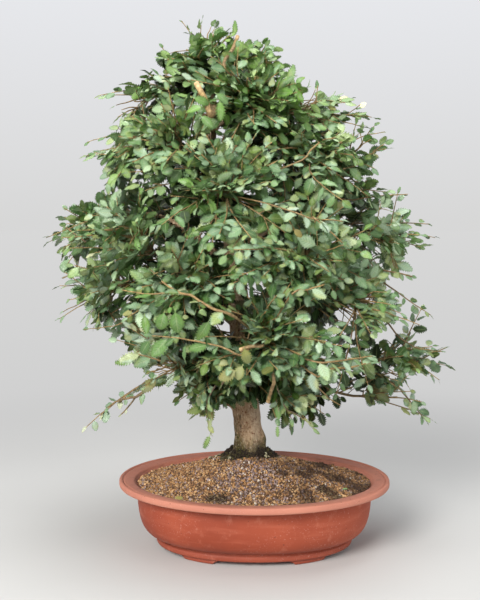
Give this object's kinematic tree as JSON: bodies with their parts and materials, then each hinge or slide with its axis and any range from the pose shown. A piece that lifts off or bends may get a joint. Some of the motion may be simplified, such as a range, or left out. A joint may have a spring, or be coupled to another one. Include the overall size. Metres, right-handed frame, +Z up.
{
  "type": "potted chinese elm bonsai tree",
  "caption": "Miniature elm tree with a thick upright trunk and a broad crown of small leaves, growing from a soil mound in a shallow oval footed clay pot.",
  "frame": {"origin": "middle of the underside of the bounding box, on the surface that the pot stands on", "axes": "+Z up, -Y towards the viewer in front of the tree, +X to the viewer's right along the oval pot's long axis"},
  "size_m": [0.523, 0.4062, 0.6691],
  "materials": {
    "clay": "matt unglazed clay",
    "soil": "granular",
    "bark": "rough bark",
    "leaf": "satin leaf",
    "screen": "matt"
  },
  "bodies": {
    "root": {"pot": "clay", "soil": "soil", "trunk": "bark", "drain_screen_left": "screen", "drain_screen_right": "screen", "spray_01": "leaf", "spray_02": "leaf", "spray_03": "leaf", "spray_04": "leaf", "spray_05": "leaf", "spray_06": "leaf", "spray_07": "leaf", "spray_08": "leaf", "spray_09": "leaf", "spray_10": "leaf", "spray_11": "leaf", "spray_12": "leaf", "spray_13": "leaf", "spray_14": "leaf", "spray_15": "leaf", "spray_16": "leaf", "spray_17": "leaf", "spray_18": "leaf", "spray_19": "leaf", "spray_20": "leaf", "spray_21": "leaf", "spray_22": "leaf", "spray_23": "leaf", "spray_24": "leaf", "spray_25": "leaf", "spray_26": "leaf", "spray_27": "leaf", "spray_28": "leaf", "spray_29": "leaf", "spray_30": "leaf", "spray_31": "leaf", "spray_32": "leaf", "spray_33": "leaf", "spray_34": "leaf"}
  },
  "joints": []
}
